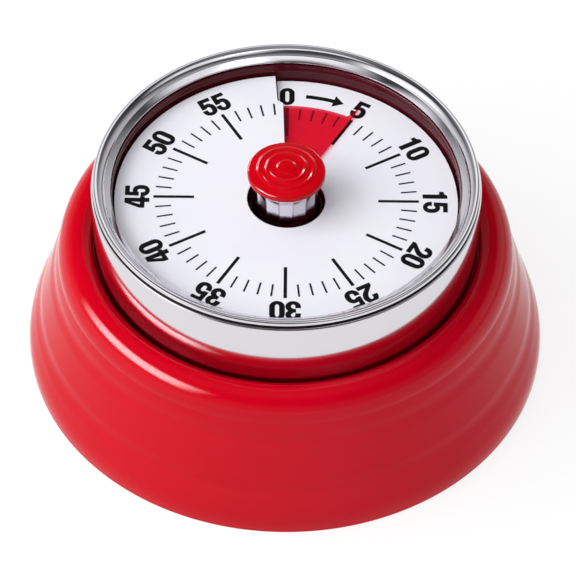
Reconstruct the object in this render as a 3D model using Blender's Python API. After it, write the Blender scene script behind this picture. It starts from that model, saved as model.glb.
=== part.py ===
"""A round mechanical sixty-minute kitchen timer, modelled as its separate pieces.

Lengths below are in millimetres and angles in degrees; add_part() turns them into metres.
The frame has its origin at the centre of the base, +Z up, and the dial's 0 mark towards +Y.
Dial angles run clockwise from 0, seen from above; bench angles run anticlockwise from +X.
The pieces stand at rest with five minutes left on the dial.
"""

import math

import bmesh
import bpy
from mathutils import Matrix, Vector

MM = 0.001
GAP = 0.3  # kept between pieces that touch

# Body shell: a drawn steel skirt with two ripples and a round shoulder
BASE_RADIUS = 35.0
SHEET = 0.8
RIM_LAND = 0.75  # upright edge at the base
RIM_CURVE_TOP = 3.35  # height where the base curve meets the skirt
RIM_CURVE = 0.065
SKIRT_SLOPE = -0.36
SKIRT_EASE = 0.0036
RIPPLE_HEIGHTS = (6.5, 13.7)
RIPPLE_DEPTH = 0.13
RIPPLE_REACH = 1.7
SHOULDER_START = 16.6
SHOULDER_APEX = (27.0, 20.25)
SHOULDER_POWER = 0.8  # below 1 the shoulder is fuller than an ellipse
THROAT_RADIUS = 25.9
THROAT_EDGE = 19.5
SEAT_TOP = 17.9
SEAT_RADIUS = 23.2
COVER_SEAT = 2.3
COVER_SEAT_RADIUS = 32.0

# Bezel: a chrome band, a neck, a round bead and a rolled slope down to the lip
BAND_RADIUS = 25.6
BAND_SHEET = 0.5
BAND_TOP = 29.15
BAND_BOTTOM = SEAT_TOP + GAP
BAND_EDGE = 0.2
BAND_FLANGE_RADIUS = 24.0
NECK_RADIUS = 25.15
NECK_HEIGHT = 29.45
BEAD_CENTRE = (24.95, 29.98)
BEAD_RADIUS = 0.44
BEAD_ANGLES = (-45.0, 135.0)
ROLL_END = (23.4, 29.5)
LIP_RADIUS = 23.05
LIP_TOP = 29.0
LIP_BOTTOM = 28.8

# Dial cup
CUP_RADIUS = 22.95
CUP_WALL = 0.8
CUP_WEB = 0.7
CUP_FLOOR = 24.3
CUP_FLANGE_RADIUS = 24.8
CUP_BOTTOM = 19.0
CUP_HOLE = 5.4
BOSS_RADIUS = 2.0
BOSS_RING = 20.0
BOSS_ANGLES = (50.0, 170.0, 290.0)
BOSS_BORE = 0.9
BOSS_BORE_TOP = 21.0

# Dial and time disc: two sheets wound on the same screw, half a lift apart
DIAL_START = 25.7  # height of the dial's sheet at 0
LIFT = 1.0  # rise in one turn
DIAL_RADIUS = 22.65
DIAL_HOLE = 5.17
DIAL_SHEET = 0.25
SLIT_ANGLE = -1.2
SLIT_JOG_RADII = (17.4, 17.9)
SLIT_JOG_ANGLE = -3.6
SLIT_WIDTH = 0.6
SPACER_WIDTH = 1.1
FILM_SHEET = 0.15
FILM_RADIUS = 17.4
FILM_BORE = 5.1
HUB_HEIGHT = 0.7
HUB_WALL = 0.35
TAB_RADIUS = 19.6
TAB_ANGLE = 2.4
MINUTE = 6.0  # dial degrees
REST_ANGLE = 5 * MINUTE

# Knob: a domed cap with a button and two raised rings, on a flared stem with flats
CAP_RADIUS = 5.12
CAP_BOTTOM = 31.0
CAP_TOP = 32.6
CAP_CROWN = 0.55  # fall from the middle to the edge
CAP_RIDGES = ((0.0, 1.3, 0.16), (2.55, 0.6, 0.2), (3.8, 0.6, 0.2))  # radius, reach, height
CAP_EDGE = 0.22
CAP_RECESS = (3.6, 0.55)  # radius and depth under the cap
STEM_RADIUS = 4.1
STEM_FLARE_RADIUS = 4.5
STEM_FLARE_START = 26.0
STEM_TOP = CAP_BOTTOM - GAP
STEM_BOTTOM = 20.5
STEM_BORE_TOP = 24.5
STEM_FACETS = 14

# Movement: bottom and top of its layers
REAR_PLATE = (6.8, 7.6)
FRONT_PLATE = (15.9, 16.7)
REAR_PLATE_RADIUS = 23.0
FRONT_PLATE_RADIUS = 24.5
SPRING_LAYER = (8.0, 10.6)
WASHER_LAYER = (10.95, 11.3)
GREAT_LAYER = (11.8, 12.6)
RATCHET_LAYER = (12.9, 13.4)
SECOND_LAYER = (13.2, 13.7)
TRIP_LAYER = (13.9, 14.5)
THIRD_LAYER = (14.4, 14.8)
ESCAPE_LAYER = (9.5, 9.9)
PALLET_LAYER = (10.2, 10.7)
BALANCE_LAYER = (13.2, 13.9)
HAMMER_LAYER = (5.2, 5.8)
HAMMER_SPRING_LAYER = (9.0, 9.8)
PIVOT_REACH = 0.1  # how far a pivot stands out of its plate
PIVOT_RADIUS = 0.6
PIVOT_HOLE = PIVOT_RADIUS + GAP
PILLAR_RING = 21.0
PILLAR_ANGLES = (20.0, 190.0, 275.0)
PILLAR_RADIUS = 1.5
PILLAR_STUD = 0.8
PILLAR_HOLE = 1.2
NUT_HEIGHT = 0.7
CUP_SCREW_HEAD = (1.6, 0.7)  # radius and height
CUP_SCREW_SHANK = 0.6
CUP_SCREW_TOP = 20.5
CUP_SCREW_HOLES = (1.0, 2.4)  # radii in the front plate and, for the driver, in the rear plate

# Mainspring and what rides on the main arbor
SPRING_TURNS = 4
SPRING_RADII = (3.0, 13.6)
SPRING_SHEET = 0.4
SPRING_STEPS = 18  # points in one turn
MAIN_ARBOR_RADIUS = 1.25
MAIN_ARBOR_TOP = 24.0
WASHER_RADIUS = 3.6
RATCHET_TEETH = 12
RATCHET_RADII = (3.5, 2.9)
RATCHET_LEAN = 0.75
CLICK_PIVOT = (5.3, 96.0)  # radius and bench angle
CLICK_NOSE = (4.4, 58.0)
CLICK_WIDTHS = (0.7, 0.25)
TRIP_CAM_RADIUS = 5.0
TRIP_NOTCH = 14.0
TRIP_NOTCH_DEPTH = 1.4

# Gear train: teeth, module, and the ring that each arbor stands on
GREAT_TEETH = 48
SECOND_TEETH = 40
THIRD_TEETH = 36
ESCAPE_TEETH = 15
SECOND_LEAVES = 8
THIRD_LEAVES = 8
ESCAPE_LEAVES = 7
GREAT_MODULE = 0.62
SECOND_MODULE = 0.5
THIRD_MODULE = 0.44
ADDENDUM = 0.75
DEDENDUM = 1.15
TOOTH_TIP = 0.09  # half widths of a tooth, as shares of the pitch
TOOTH_ROOT = 0.24
GREAT_WINDOWS = (5.2, 12.4, 5, 1.8)  # inner and outer radius, spokes and their width
SECOND_WINDOWS = (2.6, 8.0, 4, 1.4)
THIRD_WINDOWS = (2.2, 6.1, 4, 1.2)
SECOND_ANGLE = 150.0
THIRD_RING = 18.5
ESCAPE_RING = 20.8
ESCAPE_RADII = (4.2, 3.3)
ESCAPE_LEAN = 0.5
SAW_TIP = 0.12  # share of the pitch that a slanted tooth's tip takes

# Pallets and balance bar
BALANCE_RING = 20.0
VERGE_REACH = 6.5  # from the escape arbor to the verge
PALLET_ARM = 2.8
PALLET_ANGLE = 50.0
PALLET_TIP = 0.5
PALLET_BODY = 1.6
PALLET_PIN = 0.3
PALLET_PIN_REACH = 0.2  # below the escape wheel
BALANCE_REACH = 4.6
BALANCE_END = 1.1
BALANCE_WAIST = 1.5

# Strike work and gong
HAMMER_RING = 19.5
HAMMER_ANGLE = 240.0
HAMMER_HEAD_RING = 16.95
HAMMER_HEAD_ANGLE = 222.0
HAMMER_HEAD_RADIUS = 1.3
HAMMER_HEAD_BOTTOM = 3.3
HAMMER_ARBOR_BOTTOM = 4.9
HAMMER_TAIL = (7.6, 12.0)  # length, and degrees off the line to the centre
HAMMER_ARM_TIP = 0.9
HAMMER_TAIL_TIP = 0.5
LEVER_BOSS = 1.5
HAMMER_SPRING_WIDTH = 0.2
HAMMER_SPRING_SHORT = (2.2, 1.4)  # of the pillar's and the hammer's rings
DETENT_RING = 14.0
DETENT_ANGLE = 320.0
DETENT_SHORT = 0.9  # from the detent's nose to the cam's rim
DETENT_TIP = 0.55
DETENT_FOOT = (1.3, 0.4)  # radius and height of its post's collar
GONG_RADIUS = 15.0
GONG_LAYER = (3.0, 5.7)
GONG_SHEET = 0.7
GONG_EDGE = 1.6
GONG_HOLE = 1.3
GONG_POST = (1.0, 2.4)  # radii of its stud and its foot
GONG_NUT_RADIUS = 2.1

# Back
COVER_LAYER = (0.6, 2.0)
MAGNET_RADIUS = 12.0
MAGNET_TOP = 1.8
POCKET_WALL = 1.2
POCKET_ROOF = 0.6
POST_RING = 19.0
POST_ANGLES = (20.0, 140.0, 300.0)
POST_RADIUS = 1.8
POST_BORE = 1.0
POST_ROOF = 0.9
COVER_SCREW = (1.7, 0.7)  # radii of its head and its shank
COVER_SCREW_TOP = 5.0
COUNTERBORE = (2.0, 1.1)
COUNTERBORE_DEPTH = 0.6
SOUND_SLOTS = 8
SOUND_SLOT_RINGS = (24.0, 29.0)
SOUND_SLOT_RADIUS = 0.8
CUT_PAST = 0.5  # how far a cutter runs past what it cuts

ROUND = 40  # facets of the large turned pieces
MIDDLE_ROUND = 28
SMALL_ROUND = 16
PIN_ROUND = 12
HOLE_ROUND = 8

FINISHES = {
    "red_enamel": ((0.66, 0.0, 0.012), 0.12, 0.0),
    "chrome": ((0.86, 0.86, 0.88), 0.05, 1.0),
    "red_inner": ((0.16, 0.006, 0.012), 0.3, 0.0),
    "dial_white": ((0.86, 0.86, 0.9), 0.5, 0.0),
    "red_film": ((0.7, 0.01, 0.02), 0.35, 0.0),
    "red_plastic": ((0.7, 0.0, 0.01), 0.2, 0.0),
    "brass": ((0.72, 0.52, 0.2), 0.3, 1.0),
    "steel": ((0.55, 0.55, 0.57), 0.3, 1.0),
    "spring_steel": ((0.3, 0.32, 0.38), 0.3, 1.0),
    "black_plastic": ((0.03, 0.03, 0.032), 0.45, 0.0),
    "magnet_black": ((0.05, 0.05, 0.055), 0.6, 0.0),
}


# ---------------------------------------------------------------- points and outlines


def polar(radius, angle, centre=(0.0, 0.0)):
    """The point at a bench angle, anticlockwise from +X."""
    turn = math.radians(angle)
    return (centre[0] + radius * math.cos(turn), centre[1] + radius * math.sin(turn))


def circle(radius, count=SMALL_ROUND, centre=(0.0, 0.0)):
    return [polar(radius, 360.0 * i / count, centre) for i in range(count)]


def arc(centre, radius, start, stop, count):
    """Points from one angle to another, both ends included."""
    return [polar(radius, start + (stop - start) * i / count, centre) for i in range(count + 1)]


def bar(a, b, radius_a, radius_b, count=6):
    """The outline of a lever: two round ends joined by straight sides."""
    heading = math.degrees(math.atan2(b[1] - a[1], b[0] - a[0]))
    return arc(a, radius_a, heading + 90, heading + 270, count) + arc(
        b, radius_b, heading - 90, heading + 90, count
    )


def gear(teeth, module, aim=0.0):
    """A gear's outline, with one tooth pointing at the bench angle aim."""
    pitch_radius = teeth * module / 2
    tip = pitch_radius + ADDENDUM * module
    root = pitch_radius - DEDENDUM * module
    pitch = 360.0 / teeth
    corners = ((root, -TOOTH_ROOT), (tip, -TOOTH_TIP), (tip, TOOTH_TIP), (root, TOOTH_ROOT))
    return [
        polar(radius, aim + pitch * (tooth + part))
        for tooth in range(teeth)
        for radius, part in corners
    ]


def saw_wheel(teeth, tip, root, lean):
    """A ratchet or escape wheel's outline: slanted teeth with narrow tips."""
    pitch = 360.0 / teeth
    corners = ((root, 0.0), (tip, lean), (tip, lean + SAW_TIP))
    return [
        polar(radius, pitch * (tooth + part)) for tooth in range(teeth) for radius, part in corners
    ]


def spokes(inner, outer, count, width):
    """The windows between a wheel's spokes."""
    windows = []
    for i in range(count):
        middle = 360.0 * (i + 0.5) / count
        half_in = 180.0 / count - math.degrees(width / 2 / inner)
        half_out = 180.0 / count - math.degrees(width / 2 / outer)
        windows.append(
            arc((0, 0), inner, middle - half_in, middle + half_in, 3)
            + arc((0, 0), outer, middle + half_out, middle - half_out, 5)
        )
    return windows


def arbor_angle(ring, other_ring, other_angle, distance):
    """The bench angle, clockwise of other_angle, of an arbor at a given distance from another."""
    cosine = (ring**2 + other_ring**2 - distance**2) / (2 * ring * other_ring)
    return other_angle - math.degrees(math.acos(cosine))


def heading(a, b):
    return math.degrees(math.atan2(b[1] - a[1], b[0] - a[0]))


# ---------------------------------------------------------------- meshes


def loop(bm, outline, height):
    """Edges of one closed outline at one height."""
    verts = [bm.verts.new((x, y, height)) for x, y in outline]
    edges = [bm.edges.new((verts[i - 1], verts[i])) for i in range(len(verts))]
    return verts, edges


def walls(bm, low, high):
    for i in range(len(low)):
        bm.faces.new((low[i - 1], low[i], high[i], high[i - 1]))


def stack(*sections):
    """A solid of outlines on each other: (outline, bottom, top), from the lowest up."""
    bm = bmesh.new()
    below = []
    for outline, bottom, top in sections:
        low_verts, low_edges = loop(bm, outline, bottom)
        bmesh.ops.triangle_fill(bm, use_beauty=True, edges=below + low_edges)
        high_verts, below = loop(bm, outline, top)
        walls(bm, low_verts, high_verts)
    bmesh.ops.triangle_fill(bm, use_beauty=True, edges=below)
    return bm


def plate(outline, layer, holes=()):
    """A flat sheet with holes right through it."""
    bm = bmesh.new()
    rims = [[], []]
    for ring in (outline, *holes):
        low_verts, low_edges = loop(bm, ring, layer[0])
        high_verts, high_edges = loop(bm, ring, layer[1])
        rims[0] += low_edges
        rims[1] += high_edges
        walls(bm, low_verts, high_verts)
    for edges in rims:
        bmesh.ops.triangle_fill(bm, use_beauty=True, edges=edges)
    return bm


def turned(profile, facets=ROUND):
    """A closed (radius, height) profile spun about Z."""
    bm = bmesh.new()
    verts = [bm.verts.new((radius, 0.0, height)) for radius, height in profile]
    edges = [bm.edges.new((verts[i - 1], verts[i])) for i in range(len(verts))]
    bmesh.ops.spin(
        bm, geom=verts + edges, axis=(0, 0, 1), angle=math.tau, steps=facets, use_merge=True
    )
    bmesh.ops.remove_doubles(bm, verts=bm.verts[:], dist=0.001)
    on_axis = [e for e in bm.edges if max(math.hypot(*v.co.xy) for v in e.verts) < 0.001]
    bmesh.ops.delete(bm, geom=on_axis, context="EDGES")
    return bm


def screw_sheet(columns, thickness):
    """A thin sheet on a screw surface.

    Each column is one radial line of points (radius, dial angle, height), inner to outer.
    """
    bm = bmesh.new()
    sides = []
    for offset in (-thickness / 2, thickness / 2):
        side = []
        for column in columns:
            points = [
                (r * math.sin(math.radians(a)), r * math.cos(math.radians(a)), z + offset)
                for r, a, z in column
            ]
            side.append([bm.verts.new(p) for p in points])
        sides.append(side)
    low, high = sides
    last_column = len(columns) - 1
    last_row = len(columns[0]) - 1
    for grid in sides:
        for i in range(last_column):
            for j in range(last_row):
                bm.faces.new((grid[i][j], grid[i + 1][j], grid[i + 1][j + 1], grid[i][j + 1]))
    for i in range(last_column):
        for j in (0, last_row):
            bm.faces.new((low[i][j], low[i + 1][j], high[i + 1][j], high[i][j]))
    for j in range(last_row):
        for i in (0, last_column):
            bm.faces.new((low[i][j], low[i][j + 1], high[i][j + 1], high[i][j]))
    return bm


def at_places(bm, places):
    """The same solid at several (x, y) places, as one mesh."""
    mesh = bpy.data.meshes.new("repeat")
    bm.to_mesh(mesh)
    bm.free()
    group = bmesh.new()
    for x, y in places:
        start = len(group.verts)
        group.from_mesh(mesh)
        group.verts.ensure_lookup_table()
        bmesh.ops.translate(group, verts=group.verts[start:], vec=Vector((x, y, 0)))
    bpy.data.meshes.remove(mesh)
    return group


# ---------------------------------------------------------------- objects


def clear_scene():
    for item in list(bpy.data.objects):
        bpy.data.objects.remove(item, do_unlink=True)


def finish_material(name, finish):
    colour, roughness, metallic = FINISHES[finish]
    material = bpy.data.materials.new(f"{name}_{finish}")
    material.use_nodes = True
    shader = material.node_tree.nodes["Principled BSDF"]
    shader.inputs["Base Color"].default_value = (*colour, 1.0)
    shader.inputs["Roughness"].default_value = roughness
    shader.inputs["Metallic"].default_value = metallic
    return material


def add_part(name, bm, finish, place=(0.0, 0.0), parent=None, sharp=35.0):
    """One named piece. Its origin stands on its own axis, at place."""
    bmesh.ops.recalc_face_normals(bm, faces=bm.faces[:])
    bmesh.ops.transform(bm, matrix=Matrix.Scale(MM, 4), verts=bm.verts[:])
    mesh = bpy.data.meshes.new(name)
    bm.to_mesh(mesh)
    bm.free()
    mesh.shade_smooth()
    mesh.set_sharp_from_angle(angle=math.radians(sharp))
    part = bpy.data.objects.new(name, mesh)
    part.data.materials.append(finish_material(name, finish))
    part.location = (place[0] * MM, place[1] * MM, 0.0)
    bpy.context.scene.collection.objects.link(part)
    if parent:
        part.parent = parent
        part.location -= parent.location
    return part


def add_copies(name, bm, finish, places):
    """The same piece at several places, each an object of its own on one shared mesh."""
    first = add_part(f"{name}_1", bm, finish, places[0])
    for number, place in enumerate(places[1:], 2):
        part = bpy.data.objects.new(f"{name}_{number}", first.data)
        part.location = (place[0] * MM, place[1] * MM, 0.0)
        bpy.context.scene.collection.objects.link(part)


def add_axis(name, place=(0.0, 0.0)):
    """An empty on a moving body's axis."""
    axis = bpy.data.objects.new(name, None)
    axis.location = (place[0] * MM, place[1] * MM, 0.0)
    bpy.context.scene.collection.objects.link(axis)
    return axis


def cut(part, bm, name, operation="DIFFERENCE", place=(0.0, 0.0)):
    """A Boolean with a hidden helper shape."""
    helper = add_part(name, bm, "steel", place)
    helper.hide_render = True
    helper.display_type = "WIRE"
    modifier = part.modifiers.new(name, "BOOLEAN")
    modifier.operation = operation
    modifier.object = helper
    modifier.solver = "EXACT"


# ---------------------------------------------------------------- casing


def skirt_radius(height):
    """The shell's outer radius below its shoulder."""
    if height <= RIM_LAND:
        return BASE_RADIUS
    if height <= RIM_CURVE_TOP:
        return BASE_RADIUS - RIM_CURVE * (height - RIM_LAND) ** 2
    start = BASE_RADIUS - RIM_CURVE * (RIM_CURVE_TOP - RIM_LAND) ** 2
    rise = height - RIM_CURVE_TOP
    radius = start + SKIRT_SLOPE * rise + SKIRT_EASE * rise**2
    for middle in RIPPLE_HEIGHTS:
        offset = abs(height - middle) / RIPPLE_REACH
        if offset < 1:
            radius -= RIPPLE_DEPTH * (0.5 + 0.5 * math.cos(math.pi * offset))
    return radius


def shoulder(apex, start, count):
    """A quarter of an oval from the top of the skirt to the apex, both ends included."""
    width = start[0] - apex[0]
    rise = apex[1] - start[1]
    turns = [math.pi / 2 * i / count for i in range(count)]
    return [
        (apex[0] + width * math.cos(t) ** SHOULDER_POWER, start[1] + rise * math.sin(t)) for t in turns
    ] + [apex]


def make_body_shell():
    heights = [0.0, RIM_LAND, (RIM_LAND + RIM_CURVE_TOP) / 2]
    for middle in RIPPLE_HEIGHTS:
        heights += [middle + RIPPLE_REACH * share for share in (-1.0, -0.5, 0.0, 0.5, 1.0)]
    heights.append(SHOULDER_START)
    outer = [(skirt_radius(h), h) for h in heights]
    waist = sum(RIPPLE_HEIGHTS) / 2
    inner = [(skirt_radius(h) - SHEET, h) for h in (RIPPLE_HEIGHTS[0], waist, SHOULDER_START)]
    apex_in = (SHOULDER_APEX[0] + SHEET / 2, SHOULDER_APEX[1] - SHEET)
    profile = outer[:-1] + shoulder(SHOULDER_APEX, outer[-1], 5)
    profile += [
        (THROAT_RADIUS, THROAT_EDGE),
        (THROAT_RADIUS, SEAT_TOP),
        (SEAT_RADIUS, SEAT_TOP),
        (SEAT_RADIUS, SEAT_TOP - SHEET),
        (THROAT_RADIUS + SHEET, SEAT_TOP - SHEET),
        (THROAT_RADIUS + SHEET, THROAT_EDGE - SHEET),
    ]
    profile += reversed(inner[:-1] + shoulder(apex_in, inner[-1], 3))
    rim_wall = BASE_RADIUS - SHEET
    seat_roof = COVER_SEAT + SHEET
    profile += [
        (skirt_radius(seat_roof) - SHEET, seat_roof),
        (COVER_SEAT_RADIUS, seat_roof),
        (COVER_SEAT_RADIUS, COVER_SEAT),
        (rim_wall, COVER_SEAT),
        (rim_wall, 0.0),
    ]
    add_part("body_shell", turned(profile), "red_enamel")


def make_bezel_ring():
    inside = BAND_RADIUS - BAND_SHEET
    flange_top = BAND_BOTTOM + BAND_SHEET
    profile = [(BAND_RADIUS, BAND_BOTTOM), (BAND_RADIUS, BAND_TOP)]
    profile += [(BAND_RADIUS - BAND_EDGE, BAND_TOP + BAND_EDGE), (NECK_RADIUS, NECK_HEIGHT)]
    profile += arc(BEAD_CENTRE, BEAD_RADIUS, *BEAD_ANGLES, 6)
    profile += [
        ROLL_END,
        (LIP_RADIUS, LIP_TOP),
        (LIP_RADIUS, LIP_BOTTOM),
        (LIP_RADIUS + BAND_SHEET, LIP_BOTTOM),
        (inside, BAND_TOP),
        (inside, flange_top),
        (BAND_FLANGE_RADIUS, flange_top),
        (BAND_FLANGE_RADIUS, BAND_BOTTOM),
    ]
    add_part("bezel_ring", turned(profile), "chrome")


def make_dial_cup():
    outside = CUP_RADIUS + CUP_WALL
    top = LIP_BOTTOM - GAP
    profile = [
        (CUP_FLANGE_RADIUS, CUP_BOTTOM),
        (CUP_FLANGE_RADIUS, CUP_BOTTOM + CUP_WEB),
        (outside, CUP_BOTTOM + CUP_WEB),
        (outside, top),
        (CUP_RADIUS, top),
        (CUP_RADIUS, CUP_FLOOR),
        (CUP_HOLE, CUP_FLOOR),
        (CUP_HOLE, CUP_FLOOR - CUP_WEB),
        (CUP_RADIUS, CUP_FLOOR - CUP_WEB),
        (CUP_RADIUS, CUP_BOTTOM),
    ]
    cup = add_part("dial_cup", turned(profile), "red_inner")
    places = [polar(BOSS_RING, a) for a in BOSS_ANGLES]
    boss_bottom = FRONT_PLATE[1] + GAP
    bosses = stack((circle(BOSS_RADIUS), boss_bottom, CUP_FLOOR - CUP_WEB / 2))
    cut(cup, at_places(bosses, places), "cup_bosses", "UNION")
    bores = stack((circle(BOSS_BORE, PIN_ROUND), boss_bottom - CUT_PAST, BOSS_BORE_TOP))
    cut(cup, at_places(bores, places), "cup_boss_bores")


def dial_height(angle):
    """The middle of the dial's sheet at a dial angle past the slit."""
    return DIAL_START + LIFT * angle / 360.0


def slit_angle(radius):
    return SLIT_ANGLE if radius <= SLIT_JOG_RADII[0] else SLIT_JOG_ANGLE


def make_dial():
    radii = (DIAL_HOLE, *SLIT_JOG_RADII, DIAL_RADIUS)
    columns = []
    for i in range(ROUND + 1):
        angles = [slit_angle(r) + (360.0 - SLIT_WIDTH) * i / ROUND for r in radii]
        columns.append([(r, a, dial_height(a)) for r, a in zip(radii, angles)])
    add_part("dial_plate", screw_sheet(columns, DIAL_SHEET), "dial_white")


def make_dial_spacer():
    """A rib under the dial's edge, as high as the dial is there."""
    inner = DIAL_RADIUS - SPACER_WIDTH
    floor = CUP_FLOOR + GAP
    bm = bmesh.new()
    sections = []
    steps = ROUND // 2
    for i in range(steps + 1):
        angle = SLIT_JOG_ANGLE + (360.0 - SLIT_WIDTH) * i / steps
        top = dial_height(angle) - DIAL_SHEET / 2 - GAP
        section = []
        for radius, height in ((inner, floor), (DIAL_RADIUS, floor), (DIAL_RADIUS, top), (inner, top)):
            section.append(bm.verts.new((*polar(radius, 90.0 - angle), height)))
        sections.append(section)
    for a, b in zip(sections, sections[1:]):
        for j in range(4):
            bm.faces.new((a[j - 1], a[j], b[j], b[j - 1]))
    bm.faces.new(sections[0])
    bm.faces.new(sections[-1])
    add_part("dial_spacer", bm, "red_inner")


def make_time_disc(axis):
    steps = 48
    angles = [REST_ANGLE - 360.0 + (360.0 - TAB_ANGLE) * i / steps for i in range(steps + 1)]
    columns = []
    for angle in [*angles, REST_ANGLE]:
        outer = TAB_RADIUS if angle == REST_ANGLE else FILM_RADIUS
        height = dial_height(angle) + LIFT / 2
        columns.append([(FILM_BORE, angle, height), (outer, angle, height)])
    add_part("time_film", screw_sheet(columns, FILM_SHEET), "red_film", parent=axis)
    bore = STEM_RADIUS + GAP
    bottom = CUP_FLOOR + GAP
    rim = circle(bore + HUB_WALL, MIDDLE_ROUND)
    hub = plate(rim, (bottom, bottom + HUB_HEIGHT), [circle(bore, MIDDLE_ROUND)])
    add_part("film_hub", hub, "red_inner", parent=axis)


def cap_height(radius):
    """The cap's upper surface: a shallow dome with raised rings."""
    height = CAP_TOP - CAP_CROWN * (radius / CAP_RADIUS) ** 2
    top_ridge = CAP_RIDGES[0][2]
    for middle, reach, rise in CAP_RIDGES:
        offset = abs(radius - middle) / reach
        if offset < 1:
            height += rise * (0.5 + 0.5 * math.cos(math.pi * offset))
    return height - top_ridge


def make_knob(axis):
    radii = [0.0]
    for middle, reach, _ in CAP_RIDGES:
        radii += [middle + reach * share for share in (-1.0, -0.4, 0.4, 1.0)]
    radii = [radius for radius in radii if radius >= 0.0]
    radii.append(CAP_RADIUS - CAP_EDGE)
    recess, depth = CAP_RECESS
    profile = [(r, cap_height(r)) for r in radii]
    profile += [
        (CAP_RADIUS, cap_height(CAP_RADIUS) - CAP_EDGE),
        (CAP_RADIUS, CAP_BOTTOM),
        (recess, CAP_BOTTOM),
        (recess, CAP_BOTTOM + depth),
        (0.0, CAP_BOTTOM + depth),
    ]
    add_part("knob_cap", turned(profile, MIDDLE_ROUND), "red_plastic", parent=axis)
    bore = MAIN_ARBOR_RADIUS + GAP
    profile = [
        (bore, STEM_BOTTOM),
        (STEM_RADIUS, STEM_BOTTOM),
        (STEM_RADIUS, STEM_FLARE_START),
        (STEM_FLARE_RADIUS, STEM_TOP),
        (0.0, STEM_TOP),
        (0.0, STEM_BORE_TOP),
        (bore, STEM_BORE_TOP),
    ]
    add_part("knob_stem", turned(profile, STEM_FACETS), "chrome", parent=axis, sharp=15.0)


def make_back():
    bottom, top = COVER_LAYER
    pocket = MAGNET_RADIUS + GAP
    pocket_roof = MAGNET_TOP + GAP
    edge = BASE_RADIUS - SHEET - GAP
    profile = [
        (edge, bottom),
        (edge, top),
        (pocket + POCKET_WALL, top),
        (pocket + POCKET_WALL, pocket_roof + POCKET_ROOF),
        (0.0, pocket_roof + POCKET_ROOF),
        (0.0, pocket_roof),
        (pocket, pocket_roof),
        (pocket, bottom),
    ]
    cover = add_part("back_cover", turned(profile), "black_plastic")
    places = [polar(POST_RING, a) for a in POST_ANGLES]
    step = bottom + COUNTERBORE_DEPTH
    wide, narrow = [circle(radius, PIN_ROUND) for radius in COUNTERBORE]
    counterbore = stack((wide, bottom - CUT_PAST, step), (narrow, step, top + CUT_PAST))
    cut(cover, at_places(counterbore, places), "cover_screw_holes")
    slots = bmesh.new()
    for i in range(SOUND_SLOTS):
        angle = 360.0 * (i + 0.5) / SOUND_SLOTS
        ends = [polar(ring, angle) for ring in SOUND_SLOT_RINGS]
        slot = bar(*ends, SOUND_SLOT_RADIUS, SOUND_SLOT_RADIUS, 4)
        low, low_edges = loop(slots, slot, bottom - CUT_PAST)
        high, high_edges = loop(slots, slot, top + CUT_PAST)
        walls(slots, low, high)
        for edges in (low_edges, high_edges):
            bmesh.ops.triangle_fill(slots, use_beauty=True, edges=edges)
    cut(cover, slots, "sound_slots")
    add_part("magnet", stack((circle(MAGNET_RADIUS, ROUND), 0.0, MAGNET_TOP)), "magnet_black")
    post_top = REAR_PLATE[0] - GAP
    profile = [
        (POST_BORE, COVER_SEAT),
        (POST_RADIUS, COVER_SEAT),
        (POST_RADIUS, post_top),
        (0.0, post_top),
        (0.0, post_top - POST_ROOF),
        (POST_BORE, post_top - POST_ROOF),
    ]
    add_copies("cover_post", turned(profile, PIN_ROUND), "steel", places)
    head, shank = [circle(radius, PIN_ROUND) for radius in COVER_SCREW]
    seat = bottom + GAP
    add_copies("cover_screw", stack((head, GAP, seat), (shank, seat, COVER_SCREW_TOP)), "steel", places)


# ---------------------------------------------------------------- movement


SECOND_DISTANCE = (GREAT_TEETH + SECOND_LEAVES) * GREAT_MODULE / 2
THIRD_DISTANCE = (SECOND_TEETH + THIRD_LEAVES) * SECOND_MODULE / 2
ESCAPE_DISTANCE = (THIRD_TEETH + ESCAPE_LEAVES) * THIRD_MODULE / 2
THIRD_ANGLE = arbor_angle(THIRD_RING, SECOND_DISTANCE, SECOND_ANGLE, THIRD_DISTANCE)
ESCAPE_ANGLE = arbor_angle(ESCAPE_RING, THIRD_RING, THIRD_ANGLE, ESCAPE_DISTANCE)
BALANCE_ANGLE = arbor_angle(BALANCE_RING, ESCAPE_RING, ESCAPE_ANGLE, VERGE_REACH)
CENTRE = (0.0, 0.0)
SECOND_PLACE = polar(SECOND_DISTANCE, SECOND_ANGLE)
THIRD_PLACE = polar(THIRD_RING, THIRD_ANGLE)
ESCAPE_PLACE = polar(ESCAPE_RING, ESCAPE_ANGLE)
BALANCE_PLACE = polar(BALANCE_RING, BALANCE_ANGLE)
HAMMER_PLACE = polar(HAMMER_RING, HAMMER_ANGLE)
DETENT_PLACE = polar(DETENT_RING, DETENT_ANGLE)


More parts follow.
